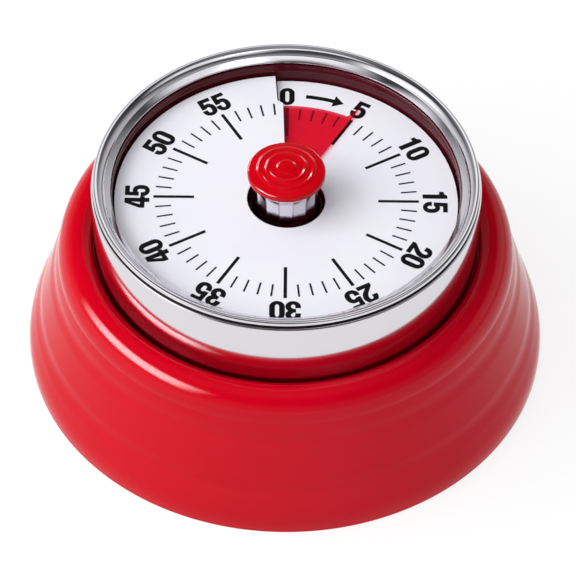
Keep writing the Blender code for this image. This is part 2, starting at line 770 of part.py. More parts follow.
def make_plates():
    pillars = [polar(PILLAR_RING, a) for a in PILLAR_ANGLES]
    bosses = [polar(BOSS_RING, a) for a in BOSS_ANGLES]
    train = [SECOND_PLACE, THIRD_PLACE, ESCAPE_PLACE, BALANCE_PLACE, HAMMER_PLACE]
    shared = [circle(MAIN_ARBOR_RADIUS + GAP)]
    shared += [circle(PIVOT_HOLE, HOLE_ROUND, p) for p in train]
    shared += [circle(PILLAR_HOLE, HOLE_ROUND, p) for p in pillars]
    front_hole, rear_hole = CUP_SCREW_HOLES
    front_holes = [circle(front_hole, HOLE_ROUND, p) for p in [*bosses, DETENT_PLACE]]
    rear_holes = [circle(rear_hole, HOLE_ROUND, p) for p in bosses]
    front = plate(circle(FRONT_PLATE_RADIUS, ROUND), FRONT_PLATE, shared + front_holes)
    add_part("front_plate", front, "steel")
    rear = plate(circle(REAR_PLATE_RADIUS, ROUND), REAR_PLATE, shared + rear_holes)
    add_part("rear_plate", rear, "steel")

    low = REAR_PLATE[1] + GAP
    high = FRONT_PLATE[0] - GAP
    stud = circle(PILLAR_STUD, PIN_ROUND)
    pillar = stack(
        (stud, REAR_PLATE[0] - GAP, low),
        (circle(PILLAR_RADIUS, PIN_ROUND), low, high),
        (stud, high, FRONT_PLATE[1] + GAP),
    )
    add_copies("pillar", pillar, "brass", pillars)
    nut_bottom = FRONT_PLATE[1] + GAP
    hole = circle(PILLAR_STUD + GAP, PIN_ROUND)
    nut = plate(circle(PILLAR_RADIUS, 6), (nut_bottom, nut_bottom + NUT_HEIGHT), [hole])
    add_copies("pillar_nut", nut, "steel", pillars)
    head, head_height = CUP_SCREW_HEAD
    seat = FRONT_PLATE[0] - GAP
    screw = stack(
        (circle(head, PIN_ROUND), seat - head_height, seat),
        (circle(CUP_SCREW_SHANK, PIN_ROUND), seat, CUP_SCREW_TOP),
    )
    add_copies("cup_screw", screw, "steel", bosses)


def make_mainspring():
    """A flat coil of spring steel, open at its inner end."""
    inner, outer = SPRING_RADII
    steps = SPRING_STEPS * SPRING_TURNS
    sides = ([], [])
    for i in range(steps + 1):
        radius = inner + (outer - inner) * i / steps
        angle = 360.0 * SPRING_TURNS * i / steps
        sides[0].append(polar(radius - SPRING_SHEET / 2, angle))
        sides[1].append(polar(radius + SPRING_SHEET / 2, angle))
    add_part("mainspring", plate(sides[0] + sides[1][::-1], SPRING_LAYER), "spring_steel")


def make_main_arbor(axis):
    arbor = stack((circle(MAIN_ARBOR_RADIUS), REAR_PLATE[0], MAIN_ARBOR_TOP))
    add_part("main_arbor", arbor, "steel", parent=axis)
    bore = circle(MAIN_ARBOR_RADIUS + GAP)
    washer = plate(circle(WASHER_RADIUS), WASHER_LAYER, [bore])
    add_part("clutch_washer", washer, "spring_steel", parent=axis)
    rim = gear(GREAT_TEETH, GREAT_MODULE, SECOND_ANGLE)
    great = plate(rim, GREAT_LAYER, [bore, *spokes(*GREAT_WINDOWS)])
    add_part("great_wheel", great, "brass", parent=axis)
    ratchet = plate(saw_wheel(RATCHET_TEETH, *RATCHET_RADII, RATCHET_LEAN), RATCHET_LAYER, [bore])
    add_part("ratchet_wheel", ratchet, "steel", parent=axis)
    click = plate(bar(polar(*CLICK_PIVOT), polar(*CLICK_NOSE), *CLICK_WIDTHS, 5), RATCHET_LAYER)
    add_part("click", click, "steel", parent=axis)
    # the notch stands under the detent's nose when no time is left
    middle = DETENT_ANGLE - REST_ANGLE
    floor = TRIP_CAM_RADIUS - TRIP_NOTCH_DEPTH
    outline = arc(CENTRE, TRIP_CAM_RADIUS, middle + TRIP_NOTCH, middle + 360.0 - TRIP_NOTCH, 24)
    outline += [polar(floor, middle - TRIP_NOTCH / 2), polar(floor, middle + TRIP_NOTCH / 2)]
    add_part("trip_cam", plate(outline, TRIP_LAYER, [bore]), "brass", parent=axis)


def arbor_with_pinion(leaves, module, aim, wheel_layer):
    """A pivoted arbor whose pinion stands astride the wheel that drives it."""
    low = wheel_layer[0] - GAP
    high = wheel_layer[1] + GAP
    pivot = circle(PIVOT_RADIUS, PIN_ROUND)
    return stack(
        (pivot, REAR_PLATE[0] - PIVOT_REACH, low),
        (gear(leaves, module, aim), low, high),
        (pivot, high, FRONT_PLATE[1] + PIVOT_REACH),
    )


def pinion_aim(wheel_place, pinion_place, leaves):
    """Turns a pinion so that one of its gaps faces the wheel."""
    return heading(pinion_place, wheel_place) + 180.0 / leaves


def make_train(second, third, escape):
    bore = circle(PIVOT_HOLE, PIN_ROUND)
    aim = pinion_aim(CENTRE, SECOND_PLACE, SECOND_LEAVES)
    arbor = arbor_with_pinion(SECOND_LEAVES, GREAT_MODULE, aim, GREAT_LAYER)
    add_part("second_arbor", arbor, "steel", SECOND_PLACE, second)
    rim = gear(SECOND_TEETH, SECOND_MODULE, heading(SECOND_PLACE, THIRD_PLACE))
    wheel = plate(rim, SECOND_LAYER, [bore, *spokes(*SECOND_WINDOWS)])
    add_part("second_wheel", wheel, "brass", SECOND_PLACE, second)

    aim = pinion_aim(SECOND_PLACE, THIRD_PLACE, THIRD_LEAVES)
    arbor = arbor_with_pinion(THIRD_LEAVES, SECOND_MODULE, aim, SECOND_LAYER)
    add_part("third_arbor", arbor, "steel", THIRD_PLACE, third)
    rim = gear(THIRD_TEETH, THIRD_MODULE, heading(THIRD_PLACE, ESCAPE_PLACE))
    wheel = plate(rim, THIRD_LAYER, [bore, *spokes(*THIRD_WINDOWS)])
    add_part("third_wheel", wheel, "brass", THIRD_PLACE, third)

    aim = pinion_aim(THIRD_PLACE, ESCAPE_PLACE, ESCAPE_LEAVES)
    arbor = arbor_with_pinion(ESCAPE_LEAVES, THIRD_MODULE, aim, THIRD_LAYER)
    add_part("escape_arbor", arbor, "steel", ESCAPE_PLACE, escape)
    wheel = plate(saw_wheel(ESCAPE_TEETH, *ESCAPE_RADII, ESCAPE_LEAN), ESCAPE_LAYER, [bore])
    add_part("escape_wheel", wheel, "brass", ESCAPE_PLACE, escape)


def make_balance(axis):
    towards = heading(BALANCE_PLACE, ESCAPE_PLACE)
    pivot = circle(PIVOT_RADIUS, PIN_ROUND)
    staff = stack((pivot, REAR_PLATE[0] - PIVOT_REACH, FRONT_PLATE[1] + PIVOT_REACH))
    add_part("verge_arbor", staff, "steel", BALANCE_PLACE, axis)
    bore = circle(PIVOT_HOLE, PIN_ROUND)
    pins = [polar(PALLET_ARM, towards + side * PALLET_ANGLE) for side in (-1, 1)]
    yoke = [
        *arc(pins[0], PALLET_TIP, towards - 140, towards + 20, 4),
        *arc(pins[1], PALLET_TIP, towards - 20, towards + 140, 4),
        *arc(CENTRE, PALLET_BODY, towards + 90, towards + 270, 6),
    ]
    carrier = add_part("pallets", plate(yoke, PALLET_LAYER, [bore]), "brass", BALANCE_PLACE, axis)
    low = ESCAPE_LAYER[0] - PALLET_PIN_REACH
    pin = stack((circle(PALLET_PIN, HOLE_ROUND), low, sum(PALLET_LAYER) / 2))
    cut(carrier, at_places(pin, pins), "pallet_pins", "UNION", BALANCE_PLACE)
    outline = []
    for side in (0, 180):
        end = polar(BALANCE_REACH, towards + 90 + side)
        outline += arc(end, BALANCE_END, towards + side, towards + 180 + side, 6)
        outline += [polar(BALANCE_WAIST, towards + turn + side) for turn in (150, 210)]
    add_part("balance_bar", plate(outline, BALANCE_LAYER, [bore]), "brass", BALANCE_PLACE, axis)


def make_strike(hammer, detent):
    bore = circle(PIVOT_HOLE, PIN_ROUND)
    pivot = circle(PIVOT_RADIUS, PIN_ROUND)
    arbor = stack((pivot, HAMMER_ARBOR_BOTTOM, FRONT_PLATE[1] + PIVOT_REACH))
    add_part("hammer_arbor", arbor, "steel", HAMMER_PLACE, hammer)
    head = polar(HAMMER_HEAD_RING, HAMMER_HEAD_ANGLE)
    head = (head[0] - HAMMER_PLACE[0], head[1] - HAMMER_PLACE[1])
    arm = plate(bar(CENTRE, head, LEVER_BOSS, HAMMER_ARM_TIP), HAMMER_LAYER, [bore])
    add_part("hammer_arm", arm, "steel", HAMMER_PLACE, hammer)
    weight = stack((circle(HAMMER_HEAD_RADIUS, 14), HAMMER_HEAD_BOTTOM, HAMMER_LAYER[0] - GAP))
    add_part("hammer_head", at_places(weight, [head]), "brass", HAMMER_PLACE, hammer)
    length, turn = HAMMER_TAIL
    tail_end = polar(length, heading(HAMMER_PLACE, CENTRE) + turn)
    tail = plate(bar(CENTRE, tail_end, LEVER_BOSS, HAMMER_TAIL_TIP), TRIP_LAYER, [bore])
    add_part("hammer_tail", tail, "steel", HAMMER_PLACE, hammer)
    near_pillar = polar(PILLAR_RING - HAMMER_SPRING_SHORT[0], PILLAR_ANGLES[2])
    near_hammer = polar(HAMMER_RING - HAMMER_SPRING_SHORT[1], HAMMER_ANGLE + 2)
    strip = bar(near_pillar, near_hammer, HAMMER_SPRING_WIDTH, HAMMER_SPRING_WIDTH, 3)
    add_part("hammer_spring", plate(strip, HAMMER_SPRING_LAYER), "spring_steel")

    seat = TRIP_LAYER[0] - GAP
    collar, height = DETENT_FOOT
    post = stack((circle(collar, PIN_ROUND), seat - height, seat), (pivot, seat, FRONT_PLATE[1]))
    add_part("detent_post", post, "steel", DETENT_PLACE)
    nose = polar(DETENT_RING - TRIP_CAM_RADIUS - DETENT_SHORT, heading(DETENT_PLACE, CENTRE))
    lever = plate(bar(CENTRE, nose, LEVER_BOSS, DETENT_TIP), TRIP_LAYER, [bore])
    add_part("detent_lever", lever, "steel", DETENT_PLACE, detent)


def make_gong():
    low, high = GONG_LAYER
    under = high - GONG_SHEET
    shoulder_centre = (GONG_RADIUS - GONG_EDGE, high - GONG_EDGE)
    profile = [(GONG_RADIUS, low)]
    profile += arc(shoulder_centre, GONG_EDGE, 0, 90, 2)
    profile += [(GONG_HOLE, high), (GONG_HOLE, under)]
    profile += arc(shoulder_centre, GONG_EDGE - GONG_SHEET, 90, 0, 2)
    profile += [(GONG_RADIUS - GONG_SHEET, low)]
    add_part("gong", turned(profile, MIDDLE_ROUND), "steel")
    stud, foot = GONG_POST
    nut_top = under - GAP
    nut_bottom = nut_top - NUT_HEIGHT
    post = stack(
        (circle(stud, PIN_ROUND), nut_bottom - PIVOT_REACH, high + GAP),
        (circle(foot), high + GAP, REAR_PLATE[0] - GAP),
    )
    add_part("gong_post", post, "brass")
    nut = plate(circle(GONG_NUT_RADIUS, 6), (nut_bottom, nut_top), [circle(stud + GAP, PIN_ROUND)])
    add_part("gong_nut", nut, "steel")


def main():
    clear_scene()
    knob = add_axis("knob_axis")
    second = add_axis("second_axis", SECOND_PLACE)
    third = add_axis("third_axis", THIRD_PLACE)
    escape = add_axis("escape_axis", ESCAPE_PLACE)
    balance = add_axis("balance_axis", BALANCE_PLACE)
    hammer = add_axis("hammer_axis", HAMMER_PLACE)
    detent = add_axis("detent_axis", DETENT_PLACE)

    make_body_shell()
    make_bezel_ring()
    make_dial_cup()
    make_dial()
    make_dial_spacer()
    make_time_disc(knob)
    make_knob(knob)
    make_back()
    make_plates()
    make_mainspring()
    make_main_arbor(knob)
    make_train(second, third, escape)
    make_balance(balance)
    make_strike(hammer, detent)
    make_gong()


main()
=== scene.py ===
"""Looks for the kitchen timer: lacquer, chrome, print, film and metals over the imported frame."""

import math

import bmesh
import bpy
from mathutils import Matrix, Vector


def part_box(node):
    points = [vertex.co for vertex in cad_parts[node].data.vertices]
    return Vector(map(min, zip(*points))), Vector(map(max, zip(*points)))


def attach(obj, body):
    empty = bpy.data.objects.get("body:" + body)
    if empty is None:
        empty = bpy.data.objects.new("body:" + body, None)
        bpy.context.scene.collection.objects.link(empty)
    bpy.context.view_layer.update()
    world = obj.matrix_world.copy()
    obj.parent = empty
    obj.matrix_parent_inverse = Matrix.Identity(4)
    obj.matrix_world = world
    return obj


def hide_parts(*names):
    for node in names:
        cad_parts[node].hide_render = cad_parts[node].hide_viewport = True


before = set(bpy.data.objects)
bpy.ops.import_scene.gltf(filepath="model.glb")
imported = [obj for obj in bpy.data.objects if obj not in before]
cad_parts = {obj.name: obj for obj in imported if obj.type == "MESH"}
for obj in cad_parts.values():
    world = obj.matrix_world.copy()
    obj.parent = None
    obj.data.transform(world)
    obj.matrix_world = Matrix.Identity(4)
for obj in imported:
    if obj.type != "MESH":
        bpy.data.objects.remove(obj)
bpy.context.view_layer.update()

MM = 0.001
TURN = 360.0
MINUTE = 6.0  # degrees of the dial
ROUND = 256  # segments of a turned piece
TINY = 1e-6


def size_of(node):
    """A CAD node's outer radius, bottom and top, in millimetres."""
    low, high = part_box(node)
    return max(high.x, high.y) / MM, low.z / MM, high.z / MM


BASE_RADIUS, _, APEX_TOP = size_of("body_shell")
BAND_RADIUS, BAND_BOTTOM, BEAD_TOP = size_of("bezel_ring")
CUP_FLANGE, CUP_BOTTOM, CUP_TOP = size_of("dial_cup")
DIAL_RADIUS, DIAL_BOTTOM, _ = size_of("dial_plate")
CAP_RADIUS, CAP_BOTTOM, CAP_TOP = size_of("knob_cap")
STEM_FLARE, STEM_BOTTOM, STEM_TOP = size_of("knob_stem")
HUB_RADIUS, HUB_BOTTOM, HUB_TOP = size_of("film_hub")

# The dial and the time film are wound on one screw. Sizes are in millimetres, angles in
# degrees clockwise from 0 minutes.
LIFT = 1.0  # a turn
DIAL_SHEET = 0.25
DIAL_LEAD = 6.0  # the part of the screw below 0 minutes
DIAL_START = DIAL_BOTTOM + DIAL_SHEET / 2 + LIFT * DIAL_LEAD / TURN
DIAL_HOLE = 5.17
SLIT_ANGLE = -1.2
JOG_ANGLE = -3.6  # of the slit, outside the jog
JOG_RADII = (17.3, 18.0)
SLIT_WIDTH = 0.6
FILM_SHEET = 0.15
FILM_RADIUS = 17.4
FILM_BORE = 5.1
TAB_RADIUS = 19.6  # the film is wider along its lifted edge
TAB_ANGLE = 2.4
FILM_EDGE = 5 * MINUTE  # five minutes left on the dial

INK_BOTTOM, INK_TOP = 0.003, 0.015  # above the dial
NUMERAL_RADIUS = 19.62
NUMERAL_HEIGHT = 3.15
DIGIT_WIDTH = 0.6  # of its height
DIGIT_GAP = 0.055
DIGIT_BOLD = 0.02  # added all round a digit's strokes


# ---------------------------------------------------------------- shapes


def bezier_corner(before, corner, after, reach, steps):
    """Points that round one corner, over less than half of each side."""
    share = 0.45
    a, b, c = Vector(before), Vector(corner), Vector(after)
    start = b + (a - b).normalized() * min(reach, (a - b).length * share)
    stop = b + (c - b).normalized() * min(reach, (c - b).length * share)
    points = []
    for i in range(steps + 1):
        t = i / steps
        points.append(tuple(start * (1 - t) ** 2 + b * (2 * t * (1 - t)) + stop * t * t))
    return points


def rounded(profile, reach, steps=4, least=12.0):
    """A closed profile with its corners rounded, apart from slight ones and those on the axis."""
    result = []
    count = len(profile)
    for i, corner in enumerate(profile):
        before, after = profile[i - 1], profile[(i + 1) % count]
        one = Vector(corner) - Vector(before)
        two = Vector(after) - Vector(corner)
        if corner[0] < TINY or math.degrees(one.angle(two)) < least:
            result.append(corner)
        else:
            result += bezier_corner(before, corner, after, reach, steps)
    return result


def smooth_curve(points, count):
    """An open Catmull-Rom curve through points, with count steps in each span."""
    points = [Vector(p) for p in points]
    ends = [points[0] * 2 - points[1], *points, points[-1] * 2 - points[-2]]
    curve = []
    for a, b, c, d in zip(ends, ends[1:], ends[2:], ends[3:]):
        for i in range(count):
            t = i / count
            curve.append(
                tuple(
                    (
                        b * 2
                        + (c - a) * t
                        + (a * 2 - b * 5 + c * 4 - d) * t**2
                        + (b * 3 - a - c * 3 + d) * t**3
                    )
                    / 2
                )
            )
    curve.append(tuple(points[-1]))
    return curve


def add_mesh(name, bm, material, sharp=40.0):
    """A piece from a mesh in millimetres, smooth but for edges sharper than an angle."""
    bmesh.ops.recalc_face_normals(bm, faces=bm.faces[:])
    bmesh.ops.transform(bm, matrix=Matrix.Scale(MM, 4), verts=bm.verts[:])
    mesh = bpy.data.meshes.new(name)
    bm.to_mesh(mesh)
    bm.free()
    mesh.shade_smooth()
    mesh.set_sharp_from_angle(angle=math.radians(sharp))
    mesh.materials.append(material)
    piece = bpy.data.objects.new(name, mesh)
    bpy.context.scene.collection.objects.link(piece)
    return piece


def lathe(profile, segments=ROUND):
    """A closed (radius, height) profile turned about Z."""
    bm = bmesh.new()
    rings = []
    for radius, height in profile:
        if radius < TINY:
            rings.append([bm.verts.new((0, 0, height))] * segments)
        else:
            ring = []
            for i in range(segments):
                turn = math.tau * i / segments
                x, y = radius * math.cos(turn), radius * math.sin(turn)
                ring.append(bm.verts.new((x, y, height)))
            rings.append(ring)
    for low, high in zip(rings, rings[1:] + rings[:1]):
        for i in range(segments):
            corners = []
            for vert in (low[i - 1], low[i], high[i], high[i - 1]):
                if vert not in corners:
                    corners.append(vert)
            if len(corners) > 2:
                bm.faces.new(corners)
    return bm


def sheet_on_screw(columns, thickness):
    """A closed thin sheet; each column is a radial line of (radius, dial angle, height)."""
    bm = bmesh.new()
    sides = []
    for offset in (-thickness / 2, thickness / 2):
        side = []
        for column in columns:
            line = []
            for radius, angle, height in column:
                turn = math.radians(angle)
                place = (radius * math.sin(turn), radius * math.cos(turn), height + offset)
                line.append(bm.verts.new(place))
            side.append(line)
        sides.append(side)
    low, high = sides
    columns_last, rows_last = len(columns) - 1, len(columns[0]) - 1
    for grid in sides:
        for i in range(columns_last):
            for j in range(rows_last):
                bm.faces.new((grid[i][j], grid[i + 1][j], grid[i + 1][j + 1], grid[i][j + 1]))
    for i in range(columns_last):
        for j in (0, rows_last):
            bm.faces.new((low[i][j], low[i + 1][j], high[i + 1][j], high[i][j]))
    for j in range(rows_last):
        for i in (0, columns_last):
            bm.faces.new((low[i][j], low[i][j + 1], high[i][j + 1], high[i][j]))
    return bm


def ease(t):
    """A smooth step from 0 to 1."""
    t = min(max(t, 0.0), 1.0)
    return t * t * (3 - 2 * t)


def hump(offset):
    """A smooth bump: 1 at no offset, and 0 from an offset of 1 outwards."""
    return 0.5 + 0.5 * math.cos(math.pi * offset) if offset < 1 else 0.0


# ---------------------------------------------------------------- materials


class Finish:
    """A Principled material with a small node tree built on object coordinates."""

    def __init__(self, name, **sockets):
        self.material = bpy.data.materials.new(name)
        self.material.use_nodes = True
        self.nodes = self.material.node_tree.nodes
        self.links = self.material.node_tree.links
        self.shader = self.nodes["Principled BSDF"]
        self.output = self.nodes["Material Output"]
        self.place = self.nodes.new("ShaderNodeTexCoord").outputs["Object"]
        for key, value in sockets.items():
            self.set(key.replace("_", " ").title(), value)

    def set(self, socket, value):
        names = {"Ior": "IOR", "Ior Level": "Specular IOR Level"}
        socket = names.get(socket, socket)
        if isinstance(value, tuple):
            value = (*value, 1.0)
        self.shader.inputs[socket].default_value = value

    def node(self, kind, **inputs):
        node = self.nodes.new(kind)
        for key, value in inputs.items():
            node.inputs[key.replace("_", " ")].default_value = value
        return node

    def noise(self, grain_mm, detail=3.0, roughness=0.5, stretch=None):
        """Noise whose features are about grain_mm across, on coordinates in metres."""
        noise = self.node("ShaderNodeTexNoise", Scale=1000.0 / grain_mm, Detail=detail)
        noise.inputs["Roughness"].default_value = roughness
        source = self.place
        if stretch:
            mapping = self.nodes.new("ShaderNodeMapping")
            mapping.inputs["Scale"].default_value = stretch
            self.links.new(source, mapping.inputs["Vector"])
            source = mapping.outputs["Vector"]
        self.links.new(source, noise.inputs["Vector"])
        return noise.outputs["Fac"]

    def vary(self, socket, source, low, high):
        """A socket's number that drifts between two values."""
        span = self.nodes.new("ShaderNodeMapRange")
        for key, value in (("From Min", 0.3), ("From Max", 0.7), ("To Min", low), ("To Max", high)):
            span.inputs[key].default_value = value
        self.links.new(source, span.inputs["Value"])
        self.links.new(span.outputs["Result"], self.shader.inputs[socket])

    def tint(self, source, low, high):
        """Base colour that drifts between two tones."""
        ramp = self.nodes.new("ShaderNodeValToRGB")
        for stop, place, tone in zip(ramp.color_ramp.elements, (0.35, 0.65), (low, high)):
            stop.position = place
            stop.color = (*tone, 1.0)
        self.links.new(source, ramp.inputs["Fac"])
        self.links.new(ramp.outputs["Color"], self.shader.inputs["Base Color"])

    def bump(self, source, depth_mm):
        """Fine relief in the surface."""
        bump = self.node("ShaderNodeBump", Strength=1.0, Distance=depth_mm * MM)
        self.links.new(source, bump.inputs["Height"])
        self.links.new(bump.outputs["Normal"], self.shader.inputs["Normal"])


def make_enamel():
    finish = Finish("red_enamel", ior=1.25)
    finish.tint(finish.noise(26.0, 2.0), (0.56, 0.0, 0.009), (0.6, 0.0, 0.013))
    finish.vary("Roughness", finish.noise(7.0), 0.05, 0.08)
    finish.bump(finish.noise(1.6, 2.0), 0.003)
    return finish.material


def make_chrome():
    finish = Finish("chrome", metallic=1.0, base_color=(0.695, 0.685, 0.72))
    finish.vary("Roughness", finish.noise(5.0), 0.06, 0.1)
    finish.bump(finish.noise(3.5, 1.0), 0.0008)
    return finish.material


def make_stem_chrome():
    # painted light: a lighter base colour than the bezel's chrome, so that the stem's reflections
    # come out brighter
    finish = Finish("stem_chrome", metallic=1.0, base_color=(0.75, 0.72, 0.79))
    finish.vary("Roughness", finish.noise(1.2), 0.1, 0.18)
    finish.bump(finish.noise(0.9, 2.0), 0.004)
    return finish.material


def make_inner():
    finish = Finish("red_inner", ior=1.28)
    finish.tint(finish.noise(9.0, 2.0), (0.066, 0.003, 0.008), (0.085, 0.004, 0.01))
    finish.vary("Roughness", finish.noise(3.0), 0.14, 0.2)
    finish.bump(finish.noise(0.45, 2.0, stretch=(0.03, 0.03, 1.0)), 0.012)
    return finish.material


def make_dial_white():
    finish = Finish("dial_white")
    finish.tint(finish.noise(12.0, 3.0), (0.84, 0.84, 0.885), (0.87, 0.87, 0.91))
    finish.vary("Roughness", finish.noise(1.5), 0.42, 0.52)
    finish.bump(finish.noise(0.35, 2.0), 0.002)
    return finish.material


def make_ink():
    finish = Finish("print_black", ior=1.25)
    finish.tint(finish.noise(0.5, 3.0), (0.004, 0.004, 0.005), (0.009, 0.008, 0.01))
    finish.vary("Roughness", finish.noise(0.8), 0.35, 0.5)
    return finish.material


def make_film():
    """A clear red film that scatters a little light of its own."""
    pigment = 0.14
    finish = Finish("red_film", base_color=(0.78, 0.03, 0.07))
    finish.vary("Roughness", finish.noise(4.0), 0.22, 0.34)
    finish.bump(finish.noise(2.2, 2.0), 0.003)
    clear = finish.nodes.new("ShaderNodeBsdfTransparent")
    clear.inputs["Color"].default_value = (0.97, 0.31, 0.42, 1.0)
    mix = finish.nodes.new("ShaderNodeMixShader")
    mix.inputs["Fac"].default_value = pigment
    finish.links.new(clear.outputs["BSDF"], mix.inputs[1])
    finish.links.new(finish.shader.outputs["BSDF"], mix.inputs[2])
    finish.links.new(mix.outputs["Shader"], finish.output.inputs["Surface"])
    return finish.material


def make_red_plastic():
    finish = Finish("red_plastic", ior=1.24, coat_weight=0.12, coat_roughness=0.03)
    finish.tint(finish.noise(5.0, 2.0), (0.55, 0.0, 0.005), (0.59, 0.0, 0.007))
    finish.vary("Roughness", finish.noise(1.8), 0.05, 0.09)
    finish.bump(finish.noise(0.9, 2.0), 0.002)
    return finish.material


def make_metal(name, low, high, rough, grain, depth):
    finish = Finish(name, metallic=1.0)
    finish.tint(finish.noise(grain * 6, 3.0), low, high)
    finish.vary("Roughness", finish.noise(grain * 2, 3.0), *rough)
    finish.bump(finish.noise(grain, 4.0, 0.6), depth)
    return finish.material


def make_black_plastic():
    finish = Finish("black_plastic")
    finish.tint(finish.noise(6.0, 3.0), (0.018, 0.018, 0.019), (0.03, 0.03, 0.031))
    finish.vary("Roughness", finish.noise(0.5, 4.0), 0.42, 0.6)
    finish.bump(finish.noise(0.22, 4.0, 0.65), 0.02)
    return finish.material


def make_magnet():
    finish = Finish("magnet_black", metallic=0.35)
    finish.tint(finish.noise(0.4, 5.0, 0.7), (0.03, 0.03, 0.033), (0.065, 0.065, 0.07))
    finish.vary("Roughness", finish.noise(0.8, 4.0), 0.5, 0.72)
    finish.bump(finish.noise(0.3, 5.0, 0.7), 0.015)
    return finish.material


FINISHES = {
    "red_enamel": make_enamel(),
    "chrome": make_chrome(),
    "stem_chrome": make_stem_chrome(),
    "red_inner": make_inner(),
    "dial_white": make_dial_white(),
    "print_black": make_ink(),
    "red_film": make_film(),
    "red_plastic": make_red_plastic(),
    "brass": make_metal(
        "brass", (0.66, 0.45, 0.15), (0.76, 0.56, 0.24), (0.22, 0.36), 0.25, 0.004
    ),
    "steel": make_metal(
        "steel", (0.5, 0.5, 0.52), (0.6, 0.6, 0.61), (0.24, 0.4), 0.2, 0.004
    ),
    "spring_steel": make_metal(
        "spring_steel", (0.2, 0.24, 0.34), (0.34, 0.36, 0.42), (0.2, 0.34), 0.3, 0.003
    ),
    "black_plastic": make_black_plastic(),
    "magnet_black": make_magnet(),
}


def dress(piece, body, slot, *nodes):
    """Fixes a piece to its body and hides the CAD nodes that it stands for; the slot is not used.
    """
    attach(piece, body)
    if nodes:
        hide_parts(*nodes)


# ---------------------------------------------------------------- body shell


RIM_LAND = 0.75  # height of the skirt's upright rim


def skirt_radius(height):
    """The skirt's outer radius: a rim, a curve, then a flank with two shallow ripples."""
    curve_top, curve = 3.35, 0.065
    slope, hollow = 0.36, 0.0036
    ripple_reach, ripple_depth = 1.7, 0.13
    if height <= RIM_LAND:
        return BASE_RADIUS
    if height <= curve_top:
        return BASE_RADIUS - curve * (height - RIM_LAND) ** 2
    rise = height - curve_top
    radius = BASE_RADIUS - curve * (curve_top - RIM_LAND) ** 2 - slope * rise + hollow * rise**2
    for middle in (6.5, 13.7):
        radius -= ripple_depth * hump(abs(height - middle) / ripple_reach)
    return radius


def make_body_shell():
    wall, foot_bevel = 0.8, 0.08
    shoulder_start, apex = 16.6, (27.0, APEX_TOP)
    shoulder_fullness = 0.8
    throat, throat_edge = 25.9, 19.5
    seat_top, seat_radius = 17.9, 23.2
    ledge_radius, ledge_top, ledge_bottom = 32.0, 3.1, 2.3
    outer = [(BASE_RADIUS - foot_bevel, 0.0), (BASE_RADIUS, foot_bevel)]
    steps = 90
    heights = [RIM_LAND + (shoulder_start - RIM_LAND) * i / steps for i in range(steps)]
    outer += [(skirt_radius(height), height) for height in heights]
    start = (skirt_radius(shoulder_start), shoulder_start)
    width, rise = start[0] - apex[0], apex[1] - start[1]
    steps = 28
    for i in range(steps):
        turn = math.pi / 2 * i / steps
        across = width * math.cos(turn) ** shoulder_fullness
        outer.append((apex[0] + across, start[1] + rise * math.sin(turn)))
    outer.append(apex)
    inner = [
        (throat, throat_edge),
        (throat, seat_top),
        (seat_radius, seat_top),
        (seat_radius, seat_top - wall),
        (throat + wall, seat_top - wall),
        (throat + wall, throat_edge - wall),
        (apex[0] + wall / 2, apex[1] - wall),
        (start[0] - wall, start[1]),
        *[(skirt_radius(height) - wall, height) for height in (10.4, 5.0)],
        (ledge_radius, ledge_top),
        (ledge_radius, ledge_bottom),
        (BASE_RADIUS - wall, ledge_bottom),
        (BASE_RADIUS - wall, 0.0),
    ]
    profile = rounded(outer + inner, 0.18)
    shell = add_mesh("shell_lacquered", lathe(profile), FINISHES["red_enamel"])
    dress(shell, "case", "red_enamel", "body_shell")


# ---------------------------------------------------------------- bezel and cup


def make_bezel():
    """The chrome ring: a band, a groove, a bead, a roll down to a crease, and a land with a lip."""
    bead_radius = 0.44
    bead = (24.95, BEAD_TOP - bead_radius)
    bead_start, bead_sweep, bead_steps = -60, 185, 27
    band_top, band_bevel = 29.15, 0.18
    shelf, groove = band_top + 0.21, 24.9
    knee, crease, roll_steps = (24.2, 30.11), (23.82, 29.5), 14
    lip, lip_bottom, lip_top, lip_bevel = 23.05, 28.8, 29.0, 0.07
    wall = 0.5
    inside, bore = BAND_RADIUS - wall, 24.0
    profile = [
        (BAND_RADIUS, BAND_BOTTOM),
        (BAND_RADIUS, band_top),
        (BAND_RADIUS - band_bevel, shelf),
        (groove, shelf),
    ]
    for i in range(bead_steps + 1):
        turn = math.radians(bead_start + bead_sweep * i / bead_steps)
        x, y = bead_radius * math.cos(turn), bead_radius * math.sin(turn)
        profile.append((bead[0] + x, bead[1] + y))
    # the roll steepens down to a fine crease, at the edge of a flatter land
    start = profile[-1]
    for i in range(1, roll_steps + 1):
        t = i / roll_steps
        x = start[0] * (1 - t) ** 2 + knee[0] * 2 * t * (1 - t) + crease[0] * t * t
        y = start[1] * (1 - t) ** 2 + knee[1] * 2 * t * (1 - t) + crease[1] * t * t
        profile.append((x, y))
    profile += [
        (lip + lip_bevel, lip_top),
        (lip, lip_top - lip_bevel),
        (lip, lip_bottom),
        (lip + wall, lip_bottom),
        (inside, band_top),
        (inside, BAND_BOTTOM + wall),
        (bore, BAND_BOTTOM + wall),
        (bore, BAND_BOTTOM),
    ]
    ring = add_mesh("bezel_chrome", lathe(rounded(profile, 0.05, least=20.0)), FINISHES["chrome"])
    dress(ring, "case", "chrome", "bezel_ring")


def make_groove_line():
    """Painted shade under the bead: a thin black ring on the band's shelf, where the groove's
    shadow falls.
    """
    inner, outer, bevel = 24.95, BAND_RADIUS - 0.16, 0.04
    low, high = 29.37, 29.47
    line = [(inner, low), (outer, low), (outer - bevel, high), (inner, high)]
    # painted shade: a ring in the print's black stands in for the shadow in the groove
    shade = add_mesh("bezel_groove_painted_shade", lathe(rounded(line, 0.02)), FINISHES["print_black"])
    dress(shade, "case", "black_plastic")


